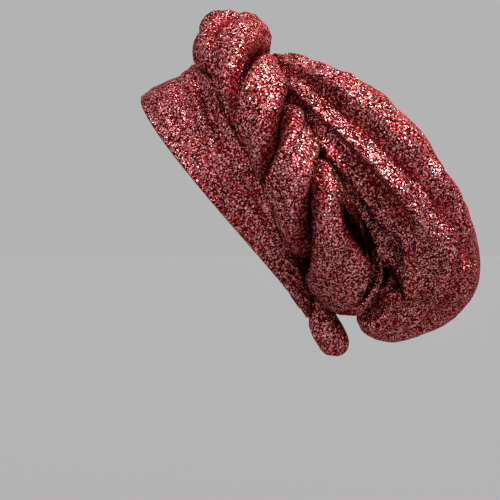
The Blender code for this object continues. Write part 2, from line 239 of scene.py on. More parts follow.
# Wrinkles of the strands and the tail: their size and their height
STRAND_LENGTH = 42.0
STRAND_CREASE = 1.5
STRAND_LUMP_SIZE = 17.0
STRAND_LUMP = 1.3
STRAND_CRUMPLE_SIZE = 9.0
STRAND_CRUMPLE = 0.5
STRAND_ROUND = 1.5  # How soon the creases change round a strand
STRAND_FREE = 6.0  # Height over the cap where a strand's wrinkles are whole
TAIL_WRINKLE = 0.08  # As a share of the tail's radius
TAIL_ROUND = 1.6  # How soon the tail's wrinkles change round it and along it
TAIL_ALONG = 2.6
TAIL_TIP = 0.4  # Smallest radius, at the closed end
TAIL_CLOSING = 0.86  # Share of the tail's length where its end starts to close

# More clear space between wrinkled cloth and the twist
BAND_CLEAR = 0.4
BAG_CLEAR = 0.8

# Slope and reach of a strand's wrinkled side and of its side without the painted shade between the strands,
# for outer_side
WRINKLED_SIDE = (1.3, 0.35)
UNSHADED_SIDE = (1.4, 0.55)

# Painted shade: what each place adds to the crease value of the cloth, which is 0 in the open and 1 deep in
# a fold, and which puts plain crimson cloth, then near black, in place of the glitter
SLIT_SHADE = 1.3  # In the deepest slit
INNER_SHADE = 0.75  # Between the strands
FOOT_SHADE = 0.35  # Where a strand meets the cap
BAND_PLAIN_CLOTH = 0.15  # Plain crimson cloth in place of some glitter, all over the band
BAND_TUCK_SHADE = 0.5  # Where the band goes under the twist
BAG_TUCK_SHADE = 0.6  # Where the bag comes out from under it
WRINKLE_SHADE = 0.3  # At most, between the bag's wrinkles
TAIL_ROOT_SHADE = 0.8  # Where the tail comes out of the crevice
TAIL_SHADE_FADE = 3.5  # How fast that fades along the tail
TAIL_DENT_SHADE = 2.0  # For a dent as deep as the tail's radius
FOLD_FULL_SHADE = 16.0  # Depth of a fold that has the whole painted shade
RISE_LIGHT = 0.10  # Painted highlight: taken off for each millimetre that a wrinkle rises, and added as painted shade where it sinks
BAND_RISE_LIGHT = 0.25  # The same on the band
BAND_TUCK_FROM = 0.70  # Share of the band's width where it starts to go under the twist
BAND_TUCK_OVER = 0.2
BAG_TUCK_FROM = 0.93  # Share of the way to the twist where the bag does
BAG_TUCK_OVER = 0.07

# Hem of the band: a raised edge and the stitched line behind it
HEM = (
    # place, width, rise
    (0.015, 0.02, 0.9),
    (0.10, 0.012, -0.5),
)


def smooth_value(at, known, values, end_slopes=None):
    """A smooth curve through a table's values that doesn't overshoot them."""
    known = np.asarray(known, float)
    values = np.asarray(values, float)
    step = np.diff(known)
    rise = np.diff(values) / step
    slope = np.zeros(len(known))
    same_way = rise[:-1] * rise[1:] > 0
    total = np.where(same_way, rise[:-1] + rise[1:], 1.0)
    slope[1:-1] = np.where(same_way, 2 * rise[:-1] * rise[1:] / total, 0.0)
    if end_slopes == "straight":
        slope[0] = rise[0]
        slope[-1] = rise[-1]
    i = np.clip(np.searchsorted(known, at, side="right") - 1, 0, len(step) - 1)
    t = (at - known[i]) / step[i]
    start = (2 * t**3 - 3 * t**2 + 1) * values[i] + (t**3 - 2 * t**2 + t) * step[i] * slope[i]
    return start + (3 * t**2 - 2 * t**3) * values[i + 1] + (t**3 - t**2) * step[i] * slope[i + 1]


def smooth_row(table, at):
    """A smooth line through the points in a table's rows, at fractional row numbers."""
    table = np.asarray(table, float)
    i = np.clip(np.asarray(at).astype(int), 0, len(table) - 2)
    t = (at - i)[:, None]
    before = table[np.maximum(i - 1, 0)]
    here = table[i]
    there = table[i + 1]
    after = table[np.minimum(i + 2, len(table) - 1)]
    linear = (there - before) * t
    square = (2 * before - 5 * here + 4 * there - after) * t**2
    cube = (3 * here - before - 3 * there + after) * t**3
    return here + 0.5 * (linear + square + cube)


def wrapped(phi):
    """The angle from -pi to pi."""
    return (np.asarray(phi, float) + math.pi) % (2 * math.pi) - math.pi


def twist_size(phi, column):
    """Radius, seat or lean of the twist at the angle phi from the top."""
    rows = np.array(TWIST)
    return smooth_value(np.degrees(np.abs(wrapped(phi))), rows[:, 0], rows[:, column])


def twist_radius(phi):
    return twist_size(phi, 1)


def twist_seat(phi):
    return twist_size(phi, 2)


def twist_turn(phi):
    """Angle of the first strand round the twist, from the back to the outside."""
    rows = np.array(TWIST)
    half_turns = smooth_value(np.degrees(np.abs(phi)), rows[:, 0], rows[:, 4], "straight")
    return math.pi * (0.5 + np.sign(phi) * half_turns)


def twist_span(phi):
    return twist_size(phi, 5)


def down_the_ring(tilt_deg):
    tilt = math.radians(tilt_deg)
    return np.array([0.0, math.cos(tilt), -math.sin(tilt)])


def ring_frame(phi):
    """The twist's centre line, and its outward, backward, seat and along-the-cap directions."""
    phi = wrapped(phi)
    down = down_the_ring(RING_TILT)
    back = np.array([0.0, -down[2], down[1]])
    side = np.array([1.0, 0.0, 0.0])
    long_part = -np.cos(phi)[:, None]
    wide_part = np.sin(phi)[:, None]
    centre = np.array(RING_CENTRE) + long_part * RING_LONG / 2 * down + wide_part * RING_WIDE / 2 * side
    centre = centre - back * (RING_BOW * wide_part**2)
    out = long_part / RING_LONG * down + wide_part / RING_WIDE * side
    out /= np.linalg.norm(out, axis=1)[:, None]
    lean = np.radians(twist_size(phi, 3))[:, None]
    seat = np.cos(lean) * out + np.sin(lean) * back
    along = np.cos(lean) * back - np.sin(lean) * out
    return centre, out, np.broadcast_to(back, out.shape), seat, along


def at_seat(phi, along_mm, seat_mm):
    """Points at these distances along and off the cap's surface, measured from the twist's centre line."""
    centre, _, _, seat, along = ring_frame(phi)
    return centre + along * np.reshape(along_mm, (-1, 1)) + seat * np.reshape(seat_mm, (-1, 1))


def foot_distance(phi):
    """How far from its centre line the twist meets the cap."""
    return np.sqrt(twist_radius(phi) ** 2 - twist_seat(phi) ** 2) + 1.5


def opening_edge(phi):
    """The band's lower edge."""
    phi = wrapped(phi)
    down = down_the_ring(OPENING_TILT)
    forward = np.array([0.0, down[2], -down[1]])
    side = np.array([1.0, 0.0, 0.0])
    bow = OPENING_BOW[0] * np.abs(np.sin(phi)) + OPENING_BOW[1] * np.sin(2 * np.abs(phi))
    long_part = -np.cos(phi)[:, None] * OPENING_LONG / 2
    wide_part = np.sin(phi)[:, None] * OPENING_WIDE / 2
    return long_part * down + wide_part * side + bow[:, None] * forward


def clear_of_twist(points, extra=0.0):
    """Moves points out of the round space that the twist fills, the shorter way."""
    phi = np.linspace(-math.pi, math.pi, 721)[:-1]
    centre, _, _, seat, along = ring_frame(phi)
    flat = points.reshape(-1, 3)
    nearest = np.array([np.argmin(((centre - p) ** 2).sum(1)) for p in flat])
    offset = flat - centre[nearest]
    a = (offset * along[nearest]).sum(1)
    s = (offset * seat[nearest]).sum(1)
    radius = twist_radius(phi[nearest]) + GAP + extra
    down_by = s + twist_seat(phi[nearest]) + SEAT_GAP
    reach = np.maximum(np.hypot(a, s), 1e-6)
    inside = (reach < radius) & (down_by > 0)
    downward = inside & (down_by < np.minimum(3.0, radius - reach))
    outward = inside & ~downward
    grow = np.where(outward, radius / reach - 1, 0.0)
    sink = np.where(downward, down_by, 0.0)
    move = along[nearest] * (a * grow)[:, None] + seat[nearest] * (s * grow - sink)[:, None]
    return (flat + move).reshape(points.shape)


def strand_points(which, steps, sides):
    """Section points of one strand, ring by ring. Its inner side is flat, against the other strand."""
    phi = np.linspace(-math.pi, math.pi, steps + 1)[:-1]
    centre, out, back, seat, _ = ring_frame(phi)
    radius = twist_radius(phi)[:, None]
    floor = twist_seat(phi)[:, None] - 2 * GAP
    turn = (twist_turn(phi) + which * math.pi)[:, None]
    around = np.linspace(0, 2 * math.pi, sides + 1)[None, :-1]
    far = STRAND_CENTRE * radius + (1 - STRAND_CENTRE) * radius * np.cos(around)
    far = np.maximum(far, GAP)
    wide = twist_span(phi)[:, None] * radius * np.sin(around)
    backward = far * np.cos(turn) - wide * np.sin(turn)
    outward = far * np.sin(turn) + wide * np.cos(turn)
    offset = backward[..., None] * back[:, None] + outward[..., None] * out[:, None]
    depth = -(offset * seat[:, None]).sum(2)
    share = np.where(depth > floor, floor / np.maximum(depth, 1e-6), 1.0)
    return centre[:, None] + offset * share[..., None]


def band_surface(steps, rows, under):
    """Outer points of the band, from its edge to the seam under the twist, and its outward direction."""
    phi = np.linspace(-math.pi, math.pi, steps + 1)[:-1]
    below = -twist_seat(phi) - SEAT_GAP
    edge = opening_edge(phi)[:, None]
    foot = at_seat(phi, -foot_distance(phi), below)[:, None]
    seam = at_seat(phi, np.full(steps, -GAP), below)[:, None]
    _, out, _, seat, _ = ring_frame(phi)
    outward = (out + seat)[:, None]
    outward = outward / np.linalg.norm(outward, axis=2)[..., None]
    u = np.linspace(0, 1, rows - under)[None, :, None]
    away = np.abs(np.degrees(phi))[:, None, None]
    fade = np.exp(-((away / ROLL_REACH) ** 2))
    width = np.linalg.norm(foot - edge, axis=2)[..., None]
    roll = ROLL_HEIGHT * fade * np.exp(-(((u - ROLL_PLACE) * width / ROLL_WIDTH) ** 2))
    rise = (BAND_BULGE * fade + 1.0) * 4 * u * (1 - u) + roll * np.sin(np.pi * np.minimum(u * 4, 1) / 2)
    for pleat in BAND_PLEATS:
        rise = rise + one_fold(away, u, pleat)
    shown = edge * (1 - u) + foot * u + outward * rise
    t = np.linspace(0, 1, under + 1)[None, 1:, None]
    hidden = foot * (1 - t) + seam * t
    return clear_of_twist(np.concatenate([shown, hidden], axis=1), 1.6), phi


def crown_rows(rows):
    """The place on the ring of each section, and its other sizes."""
    table = np.array(CROWN_SECTIONS)
    sections = smooth_row(table, np.linspace(0, len(table) - 1, rows))
    return np.radians(sections[:, 0]), sections[:, 1:]


def foot_points(phi):
    """Where the bag comes out from under the twist."""
    return at_seat(phi, foot_distance(phi), -twist_seat(phi) - SEAT_GAP)


def crown_base(rows, columns):
    """The bag's smooth shape, row by row, from the left edge round the back to the right edge."""
    start_phi, size = crown_rows(rows)
    start = foot_points(start_phi)
    apex = np.stack([np.zeros(rows), size[:, 1], size[:, 2]], axis=1)
    beside = apex + size[:, :1] * np.array([1.2, 0.0, 0.0])
    _, _, _, seat, along = ring_frame(start_phi)
    rise = (foot_distance(start_phi) / twist_radius(start_phi))[:, None]
    reach = np.linalg.norm(apex - start, axis=1)[:, None] * CROWN_LEAVE
    leave = start + reach * (along * np.sqrt(1 - rise**2) + seat * rise)
    q = np.linspace(1, -1, columns + 1)
    t = (1 - np.abs(q))[None, :, None]
    points = start[:, None] * (1 - t) ** 3 + leave[:, None] * 3 * (1 - t) ** 2 * t
    points = points + beside[:, None] * 3 * (1 - t) * t**2 + apex[:, None] * t**3
    points[..., 0] *= np.sign(q)
    points[0] = foot_points(q * start_phi[0])
    points[-1] = foot_points(math.pi - q * (math.pi - start_phi[-1]))
    return points


def fold_place(t, start, middle, end):
    """A bent line through three places."""
    return start * (1 - t) * (1 - 2 * t) + 4 * middle * t * (1 - t) + end * t * (2 * t - 1)


def one_fold(down, across, fold):
    """Height of one fold over the cloth, where down runs along it and across is measured over it."""
    first, last, start, middle, end, height, width = fold
    t = np.clip((down - first) / (last - first), 0, 1)
    fade = np.sin(math.pi * t) ** BLUNT
    return height * fade * np.exp(-(((across - fold_place(t, start, middle, end)) / width) ** 2))


def crown_rise(rows, columns):
    """Height of the bag's folds over its smooth shape."""
    v = np.linspace(0, 1, rows)[:, None]
    q = np.abs(np.linspace(1, -1, columns + 1))[None, :]
    rise = sum((one_fold(v, q, fold) for fold in CROWN_FOLDS), np.zeros((rows, columns + 1)))
    return rise * np.minimum(1, (1 - q) * 6) * np.minimum(1, np.minimum(v, 1 - v) * 10)


def grid_normals(points):
    """Outward unit directions of a grid of points."""
    down = np.gradient(points, axis=0)
    across = np.gradient(points, axis=1)
    normal = np.cross(across, down)
    return -normal / np.maximum(np.linalg.norm(normal, axis=2), 1e-9)[..., None]


def grid_faces(rows, columns, closed):
    """Quads of a grid of points, joined round from the last row to the first when closed."""
    faces = []
    for i in range(rows if closed else rows - 1):
        j = (i + 1) % rows
        for k in range(columns - 1):
            faces.append((i * columns + k, j * columns + k, j * columns + k + 1, i * columns + k + 1))
    return faces


def rim_walk(rows, columns):
    """The points round the border of a grid, in order."""
    top = [(0, k) for k in range(columns)]
    right = [(i, columns - 1) for i in range(1, rows)]
    bottom = [(rows - 1, k) for k in range(columns - 2, -1, -1)]
    left = [(i, 0) for i in range(rows - 2, 0, -1)]
    return top + right + bottom + left


def crown_rim_angles(rows, columns):
    """Places on the ring of the bag's border points, in the order of rim_walk."""
    start_phi, _ = crown_rows(rows)
    q = np.linspace(1, -1, columns + 1)
    angles = np.zeros((rows, columns + 1))
    angles[:, 0] = start_phi
    angles[:, -1] = -start_phi
    angles[0] = q * start_phi[0]
    angles[-1] = math.pi - q * (math.pi - start_phi[-1])
    return wrapped(np.array([angles[i, k] for i, k in rim_walk(rows, columns + 1)]))


def smooth_noise(samples, seed):
    """Soft noise between -1 and 1 at each sample point."""
    shift = Vector((seed * 17.3, seed * 5.1, seed * 9.7))
    return np.array([noise.noise(Vector(sample) + shift) for sample in samples])


def creased_noise(samples, seed):
    """Noise with narrow raised lines, like the creases of thick cloth, between -1 and 1."""
    return 1 - CREASE_STEEP * np.sqrt(smooth_noise(samples, seed) ** 2 + CREASE_ROUND)


def grid_samples(first, second, third):
    """Three arrays of one shape as a list of points."""
    return np.stack(np.broadcast_arrays(first, second, third), axis=-1).reshape(-1, 3)


def slit_depth(points):
    """How far the slits press each point in, and the painted shade of a slit on it, from 0 to 1 in the
    deepest.
    """
    pressed = np.zeros(points.shape[:-1])
    inside = np.zeros(points.shape[:-1])
    left_side = np.clip((points[..., 0] - SLIT_FROM) / SLIT_OVER, 0, 1)
    for from_y, from_z, to_y, to_z, half_width, depth in SLITS:
        run = np.array([to_y - from_y, to_z - from_z])
        length = np.linalg.norm(run)
        run = run / length
        y = points[..., 1] - from_y
        z = points[..., 2] - from_z
        share = (y * run[0] + z * run[1]) / length
        aside = (y * run[1] - z * run[0]) / half_width
        leaf = np.sin(np.pi * np.clip(share, 0, 1)) ** BLUNT
        amount = np.exp(-((aside / np.maximum(leaf, 0.05)) ** 2)) * leaf * left_side
        pressed = np.maximum(pressed, depth * amount)
        # Painted shade inside the slit, reaching over its sides
        inside = np.maximum(inside, amount**SLIT_SPREAD * min(1.0, depth / SLIT_FULL_SHADE))
    return pressed, inside


def ring_normals(points):
    """Unit directions off a grid of points, where the last rows and columns lie next to the first ones."""
    down = np.roll(points, -1, axis=0) - np.roll(points, 1, axis=0)
    across = np.roll(points, -1, axis=1) - np.roll(points, 1, axis=1)
    normal = np.cross(across, down)
    return -normal / np.maximum(np.linalg.norm(normal, axis=2), 1e-9)[..., None]


def make_piece(name, points_mm, faces, crease, material):
    """A smooth mesh that rides on the cap. Crease is its painted shade, 0 on open cloth and 1 deep in a
    fold.
    """
    mesh = bpy.data.meshes.new(name)
    mesh.from_pydata([tuple(p) for p in np.reshape(points_mm, (-1, 3)) * MM], [], faces)
    mesh.shade_smooth()
    # The crease value is painted shade: the material puts plain crimson cloth, then near black, in place of
    # the glitter where it is high
    attribute = mesh.attributes.new("crease", "FLOAT", "POINT")
    attribute.data.foreach_set("value", np.clip(np.ravel(crease), 0, 1).astype(np.float32))
    mesh.materials.append(material)
    obj = bpy.data.objects.new(name, mesh)
    bpy.context.scene.collection.objects.link(obj)
    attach(obj, "root")
    return obj


def give_wall(obj, thickness_mm):
    """Turns a sheet into a closed wall that grows inwards."""
    wall = obj.modifiers.new("wall", "SOLIDIFY")
    wall.thickness = thickness_mm * MM
    wall.offset = -1.0


def link(tree, source, target):
    tree.links.new(source, target)


def add_node(tree, kind, label, **values):
    """A labelled shader node, with some of its settings."""
    node = tree.nodes.new(kind)
    node.label = label
    node.name = label
    for key, value in values.items():
        setattr(node, key, value)
    return node


def add_flakes(tree, coordinates, label, size):
    """One random colour for each flake of glitter, of about this size in metres."""
    flakes = add_node(tree, "ShaderNodeTexVoronoi", label)
    flakes.inputs["Scale"].default_value = 1.0 / size
    flakes.inputs["Randomness"].default_value = 1.0
    link(tree, coordinates, flakes.inputs["Vector"])
    return flakes


def add_ramp(tree, label, source, stops):
    """Turns a value into a colour, through this table of places and colours."""
    ramp = add_node(tree, "ShaderNodeValToRGB", label)
    elements = ramp.color_ramp.elements
    while len(elements) < len(stops):
        elements.new(0.5)
    for element, (place, *colour) in zip(elements, stops):
        element.position = place
        element.color = (*colour, 1.0)
    link(tree, source, ramp.inputs[0])
    return ramp.outputs[0]


def add_lean(tree, label, source, amount):
    """A random colour as a random lean, in any direction."""
    centred = add_node(tree, "ShaderNodeVectorMath", f"{label} direction", operation="SUBTRACT")
    centred.inputs[1].default_value = (0.5, 0.5, 0.5)
    link(tree, source, centred.inputs[0])
    lean = add_node(tree, "ShaderNodeVectorMath", label, operation="SCALE")
    lean.inputs["Scale"].default_value = amount
    link(tree, centred.outputs[0], lean.inputs[0])
    return lean.outputs[0]


def add_sum(tree, label, first, second):
    """The sum of two directions or places."""
    both = add_node(tree, "ShaderNodeVectorMath", label, operation="ADD")
    link(tree, first, both.inputs[0])
    link(tree, second, both.inputs[1])
    return both.outputs[0]


# Colour of a flake by its random value: mostly dark red, and a few that catch the light
LARGE_FLAKE_COLOURS = (
    # random, red, green, blue
    (0.00, 0.022, 0.0001, 0.0002),
    (0.58, 0.070, 0.0003, 0.0006),
    (0.67, 0.160, 0.0060, 0.0066),
    (0.75, 0.600, 0.0620, 0.0660),
    (0.85, 1.000, 0.2600, 0.2650),
    (1.00, 1.000, 0.5700, 0.5800),
)
SMALL_FLAKE_COLOURS = (
    (0.00, 0.022, 0.0001, 0.0002),
    (0.80, 0.095, 0.0004, 0.0008),
    (0.89, 0.480, 0.0520, 0.0560),
    (1.00, 1.000, 0.4800, 0.4900),
)
# Plain crimson cloth, the cloth's own colour, in place of the glitter in the folds, going to near black as
# painted shade deep in a fold
FOLD_SHADE_COLOURS = (
    # crease, red, green, blue
    (0.00, 0.260, 0.0050, 0.0075),
    (0.50, 0.230, 0.0035, 0.0055),
    (0.80, 0.030, 0.0006, 0.0012),
    (1.00, 0.006, 0.0002, 0.0004),
)


SMALL_FLAKE = 0.7  # Width of a small flake, as a share of a large one
SMALL_LEAN = 0.8  # Lean of a small flake, as a share of a large one's
YARN_SHIFT = 1.6  # How far uneven yarn moves the flakes, in widths of a flake
YARN_SPACING = 0.7  # Waves of uneven yarn in the width of a flake
KNIT_SPACING = 0.8  # Waves of knit relief in the width of a flake
KNIT_HEIGHT = 0.0005  # In metres
KNIT_STRENGTH = 0.5
FOLD_SHADE_COVER = 1.05  # Share of painted shade over the flakes for the depth in a fold
EDGE_TINT = (0.55, 0.02, 0.02, 1.0)
EDGE_SHINE = 0.03


def add_uneven_yarn(tree, flake_size):
    """The place on the cap, moved a little so that the flakes follow uneven yarn."""
    solid = add_node(tree, "ShaderNodeTexCoord", "Place on the cap").outputs["Object"]
    wander = add_node(tree, "ShaderNodeTexNoise", "Uneven yarn")
    wander.inputs["Scale"].default_value = YARN_SPACING / flake_size
    link(tree, solid, wander.inputs["Vector"])
    shift = add_lean(tree, "Yarn shift", wander.outputs["Color"], flake_size * YARN_SHIFT)
    return add_sum(tree, "Place on uneven yarn", solid, shift)


def add_flake_colour(tree, flakes, channel, label, stops):
    """A colour for each flake, by one of its random values."""
    values = add_node(tree, "ShaderNodeSeparateColor", f"{label} values")
    link(tree, flakes.outputs["Color"], values.inputs[0])
    return add_ramp(tree, f"{label} colours", values.outputs[channel], stops)


def add_glitter_and_fold_shade(tree, glitter):
    """Glitter on open cloth, and more and more painted shade in place of the flakes towards the depth of a
    fold.
    """
    depth = add_node(tree, "ShaderNodeAttribute", "Depth in a fold", attribute_name="crease")
    crease = depth.outputs["Fac"]
    fold_shade_colour = add_ramp(tree, "Painted shade in the folds", crease, FOLD_SHADE_COLOURS)
    shown = add_node(tree, "ShaderNodeMath", "Share of painted shade", operation="MULTIPLY", use_clamp=True)
    shown.inputs[1].default_value = FOLD_SHADE_COVER
    link(tree, crease, shown.inputs[0])
    colour = add_node(tree, "ShaderNodeMix", "Glitter and painted shade", data_type="RGBA")
    link(tree, shown.outputs[0], colour.inputs[0])
    link(tree, glitter, colour.inputs[6])
    link(tree, fold_shade_colour, colour.inputs[7])
    return colour.outputs[2]


def add_knit_relief(tree, where, flake_size):
    """Fine relief of the knitted yarn."""
    yarn = add_node(tree, "ShaderNodeTexNoise", "Knitted yarn")
    yarn.inputs["Scale"].default_value = KNIT_SPACING / flake_size
    yarn.inputs["Detail"].default_value = 3.0
    link(tree, where, yarn.inputs["Vector"])
    bump = add_node(tree, "ShaderNodeBump", "Knit relief")
    bump.inputs["Strength"].default_value = KNIT_STRENGTH
    bump.inputs["Distance"].default_value = KNIT_HEIGHT
    link(tree, yarn.outputs["Fac"], bump.inputs["Height"])
    return bump.outputs["Normal"]


def make_glitter_cloth(settings):
    """Dark red knitted cloth under dense metallic flakes that each face their own way, with painted shade in
    its folds.
    """
    material = bpy.data.materials.get("glitter_cloth_look")
    if material:
        return material
    material = bpy.data.materials.new("glitter_cloth_look")
    material.use_nodes = True
    tree = material.node_tree
    shader = tree.nodes["Principled BSDF"]

    where = add_uneven_yarn(tree, settings.flake_size)
    large = add_flakes(tree, where, "Large flakes", settings.flake_size)
    small = add_flakes(tree, where, "Small flakes", settings.flake_size * SMALL_FLAKE)
    brighter = add_node(tree, "ShaderNodeMix", "Brighter flake", data_type="RGBA", blend_type="LIGHTEN")
    brighter.inputs[0].default_value = 1.0
    link(tree, add_flake_colour(tree, large, 0, "Large flake", LARGE_FLAKE_COLOURS), brighter.inputs[6])
    link(tree, add_flake_colour(tree, small, 1, "Small flake", SMALL_FLAKE_COLOURS), brighter.inputs[7])
    link(tree, add_glitter_and_fold_shade(tree, brighter.outputs[2]), shader.inputs["Base Color"])

    relief = add_knit_relief(tree, where, settings.flake_size)
    large_lean = add_lean(tree, "Large flake lean", large.outputs["Color"], settings.flake_lean)
    lean = settings.flake_lean * SMALL_LEAN
    small_lean = add_lean(tree, "Small flake lean", small.outputs["Color"], lean)
    leaning = add_sum(tree, "Leaning large flakes", relief, large_lean)
    leaning = add_sum(tree, "Leaning flakes", leaning, small_lean)
    facing = add_node(tree, "ShaderNodeVectorMath", "Flake direction", operation="NORMALIZE")
    link(tree, leaning, facing.inputs[0])
    link(tree, facing.outputs[0], shader.inputs["Normal"])

    shader.inputs["Metallic"].default_value = settings.metal
    shader.inputs["Roughness"].default_value = settings.roughness
    shader.inputs["Specular IOR Level"].default_value = EDGE_SHINE
    shader.inputs["Specular Tint"].default_value = EDGE_TINT
    return material


def band_rise(ring, u, depth_mm):
    """Height of the band's wrinkles and hem, for the angle round it and the share of its width."""
    ahead = np.cos(ring)
    aside = np.sin(ring)
    leaning = u * WRINKLES_ACROSS - ring**2 * WRINKLES_LEAN
    large = grid_samples(ahead * WRINKLES_ROUND, aside * WRINKLES_ROUND, leaning)
    small = grid_samples(ahead * LUMPS_ROUND, aside * LUMPS_ROUND, u * LUMPS_ACROSS)
    shape = (len(ring), u.shape[1])
    wrinkle = creased_noise(large, 3).reshape(shape) * BAND_WRINKLE
    wrinkle = wrinkle + smooth_noise(small, 5).reshape(shape) * BAND_LUMP
    shown = np.clip((PLAIN_FROM - u) / PLAIN_OVER, 0, 1) * np.clip(u / PLAIN_EDGE, 0, 1)
    hem = sum(rise * np.exp(-(((u - place) / width) ** 2)) for place, width, rise in HEM)
    return wrinkle * shown * depth_mm + hem


def build_band(cloth, material):
    """The fitted front band, with its hem and the soft pleats in front of the twist."""
    steps, rows = cloth.band_steps, cloth.band_rows
    points, phi = band_surface(steps, rows, max(2, rows // 8))
    u = np.linspace(0, 1, rows)[None, :]
    rise = band_rise(phi[:, None], u, cloth.wrinkle_depth / MM)
    points = clear_of_twist(points + ring_normals(points) * rise[..., None], BAND_CLEAR)
    # Painted shade where the band goes under the twist and in the dents of its wrinkles, painted highlight
    # on raised wrinkles, and plain crimson cloth all over the band
    tucked = np.clip((u - BAND_TUCK_FROM) / BAND_TUCK_OVER, 0, 1)
    crease = BAND_PLAIN_CLOTH + tucked * BAND_TUCK_SHADE - rise * BAND_RISE_LIGHT
    faces = grid_faces(steps, rows, closed=True)
    obj = make_piece("front_band_cloth", points, faces, crease, material)
    give_wall(obj, BAND_WALL)
    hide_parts("front_band")
    return obj


def strand_rise(which, points, centre, around):
    """Height of a strand's wrinkles: creases along it, lumps of its filling and fine crumples."""
    along = centre[:, None] / STRAND_LENGTH
    x = along[..., 0] + np.cos(around) * STRAND_ROUND
    y = along[..., 1] + np.sin(around) * STRAND_ROUND
    z = along[..., 2] + np.cos(around + 1.0) * 0.8
    places = points.reshape(-1, 3)
    crease = creased_noise(grid_samples(x, y, z), 11 + which) * STRAND_CREASE
    lump = smooth_noise(places / STRAND_LUMP_SIZE, 21 + which) * STRAND_LUMP
    crumple = creased_noise(places / STRAND_CRUMPLE_SIZE, 31 + which) * STRAND_CRUMPLE
    return (crease + lump + crumple).reshape(points.shape[:2])


def outer_side(around, slope, reach):
    """1 on a strand's outer side and 0 on its inner one, for the angle round it."""
    return np.clip(np.cos(around) * slope + reach, 0, 1)


def build_strand(which, cloth, material):
    """One stuffed strand of the twist, with creases along it and pinches where it goes under the other."""
    steps, sides = cloth.strand_steps, cloth.strand_sides
    points = strand_points(which, steps, sides)
    phi = np.linspace(-math.pi, math.pi, steps + 1)[:-1]
    around = np.linspace(0, 2 * math.pi, sides + 1)[None, :-1]
    centre, _, _, seat, _ = ring_frame(phi)
    height = ((points - centre[:, None]) * seat[:, None]).sum(2) + twist_seat(phi)[:, None]
    free = np.clip(height / STRAND_FREE, 0, 1)
    outer = outer_side(around, *WRINKLED_SIDE)
    rise = strand_rise(which, points, centre, around) * (cloth.wrinkle_depth / MM)
    pressed, inside = slit_depth(points)
    # The sides run the other way round a strand than across the band, so its directions turn round too
    normal = -ring_normals(points)
    points = points + normal * (rise * outer * free - pressed * SLIT_ON_TWIST)[..., None]
    # Painted shade between the strands, at their foot and in the slits, and painted highlight on raised
    # wrinkles
    inner = 1 - outer_side(around, *UNSHADED_SIDE)
    crease = INNER_SHADE * inner + FOOT_SHADE * (1 - free) - rise * RISE_LIGHT + inside * SLIT_SHADE
    name = f"twist_strand_{which + 1}_cloth"
    obj = make_piece(name, points, grid_faces_round(steps, sides), crease, material)
    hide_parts(f"twist_strand_{which + 1}")
    return obj


def grid_faces_round(rows, columns):
    """Quads of a grid of points that closes in both directions."""
    faces = []
    for i in range(rows):
        j = (i + 1) % rows
        for k in range(columns):
            m = (k + 1) % columns
            faces.append((i * columns + k, i * columns + m, j * columns + m, j * columns + k))
    return faces


def bag_wrinkles(base, v, q):
    """Height of the bag's gathers and crumples, for the shares of the way down and across it."""
    far = np.abs(q)
    rise = np.zeros(base.shape[:2])
    for across, down, lean, sideways, seed, height in BAG_GATHERS:
        samples = grid_samples(q * across, v * down - far * lean, q * sideways)
        rise += creased_noise(samples, seed).reshape(rise.shape) * height
    for size, seed, height in BAG_CRUMPLES:
        rise += creased_noise(base.reshape(-1, 3) / size, seed).reshape(rise.shape) * height
    return rise * (1 + GATHERED_MORE * np.exp(-(((v - GATHERED_AT) / GATHERED_OVER) ** 2)))


def build_bag(cloth, material):
    """The gathered bag behind the twist, with its long folds, its slits near the nape and its skirt."""
    rows, columns = cloth.bag_rows, cloth.bag_columns
    base = crown_base(rows, columns)
    normal = grid_normals(base)
    v = np.linspace(0, 1, rows)[:, None]
    q = np.linspace(1, -1, columns + 1)[None, :]
    far = np.abs(q)
    edge = np.minimum(1, (1 - far) * BAG_RIM_SIDES) * np.minimum(1, np.minimum(v, 1 - v) * BAG_RIM_ENDS)
    fold = crown_rise(rows, columns)
    fine = sum(one_fold(v, far, item) for item in FINE_FOLDS) * edge
    wrinkle = bag_wrinkles(base, v, q) * edge * (cloth.wrinkle_depth / MM)
    pressed, inside = slit_depth(base + normal * fold[..., None])
    rise = fold + fine + wrinkle - pressed
    points = clear_of_twist(base + normal * rise[..., None], BAG_CLEAR)
    # Painted shade in the deep folds, in the valleys between the wrinkles, where the bag comes out from
    # under the twist and in the slits
    deep = np.clip(-(fold + fine) / FOLD_FULL_SHADE, 0, 1)
    deep = deep + np.clip(-wrinkle * RISE_LIGHT, 0, WRINKLE_SHADE)
    tucked = np.clip((far - BAG_TUCK_FROM) / BAG_TUCK_OVER, 0, 1)
    crease = deep + tucked * BAG_TUCK_SHADE + inside * SLIT_SHADE

    wide = columns + 1
    faces = grid_faces(rows, wide, closed=False)
    angles = crown_rim_angles(rows, columns)
    seam = at_seat(angles, np.full(len(angles), GAP), -twist_seat(angles) - SEAT_GAP)
    border = [i * wide + k for i, k in rim_walk(rows, wide)]
    first = rows * wide
    for n in range(len(border)):
        m = (n + 1) % len(border)
        faces.append((border[n], border[m], first + m, first + n))
    all_points = np.concatenate([points.reshape(-1, 3), seam])
    # The seam under the twist gets the whole painted shade
    all_painted_shade = np.concatenate([crease.ravel(), np.ones(len(seam))])
    obj = make_piece("crown_bag_cloth", all_points, faces, all_painted_shade, material)
    give_wall(obj, CROWN_WALL)
    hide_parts("crown_bag")
    return obj


